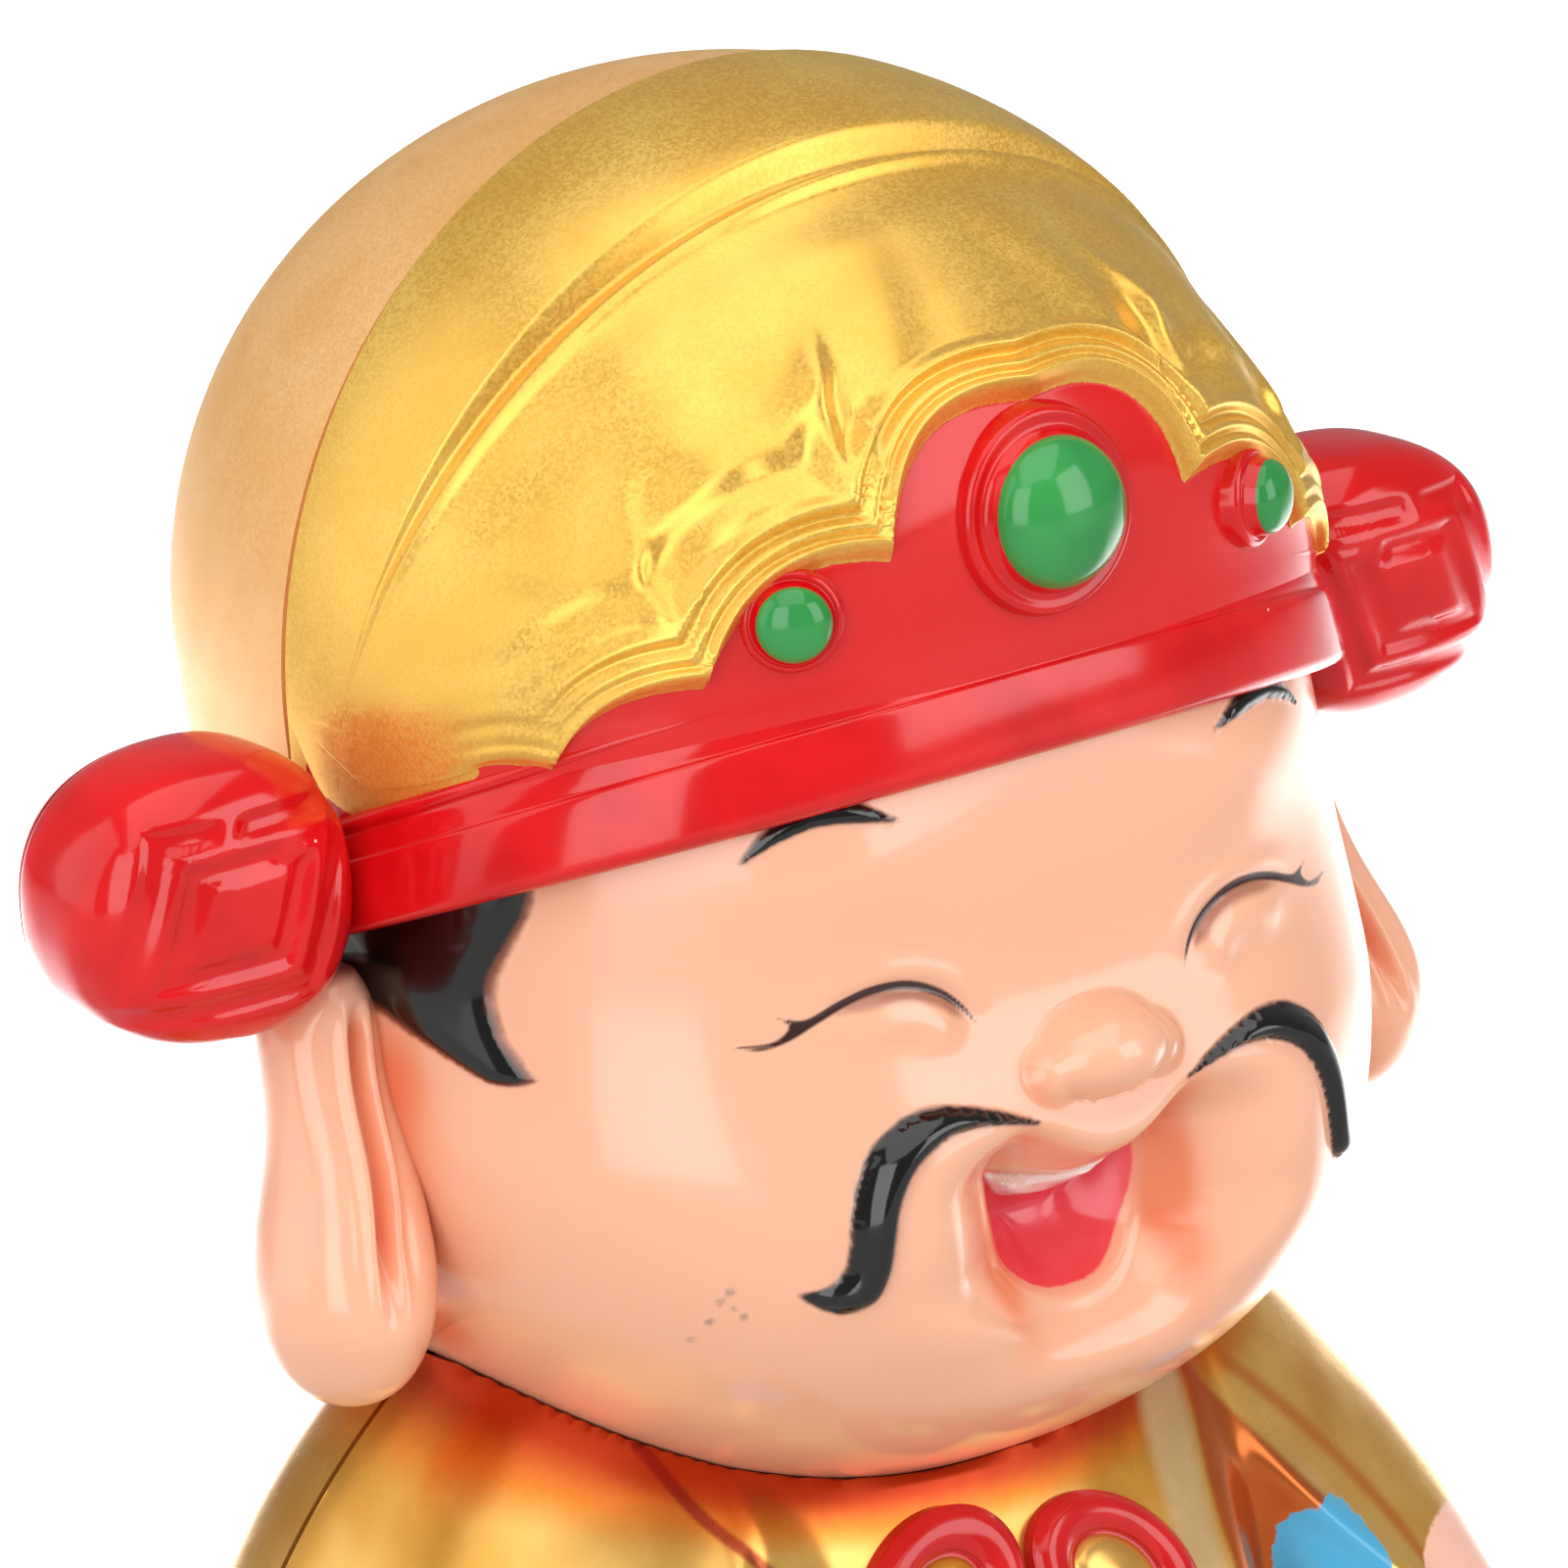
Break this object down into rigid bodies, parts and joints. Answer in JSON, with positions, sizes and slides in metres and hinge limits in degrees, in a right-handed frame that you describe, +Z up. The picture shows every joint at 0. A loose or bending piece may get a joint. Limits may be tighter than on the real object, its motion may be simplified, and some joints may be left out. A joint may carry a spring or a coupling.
{
  "type": "wealth god figure",
  "caption": "Moulded plastic bust of a smiling wealth god: round laughing face with moustache and long ears, gold hat with red band, gems and side knots, gold robed shoulders, flat underside.",
  "frame": {"origin": "centre of the bounding box on the flat underside", "axes": "+Z up, the figure faces -Y, +X to the figure's left"},
  "size_m": [0.0754, 0.0522, 0.0847],
  "materials": {
    "flesh_plastic": "gloss moulded plastic with painted features",
    "hat_gold": "satin gold flake lacquer over moulded plastic, with red and green paint",
    "hat_back_gold": "smooth gold lacquer over moulded plastic",
    "robe_gold": "bright gold plated plastic with painted ornaments",
    "robe_back_gold": "bright gold plated plastic"
  },
  "bodies": {
    "root": {"head": "flesh_plastic", "hat_front": "hat_gold", "hat_back": "hat_back_gold", "body_front": "robe_gold", "body_back": "robe_back_gold"}
  },
  "joints": []
}
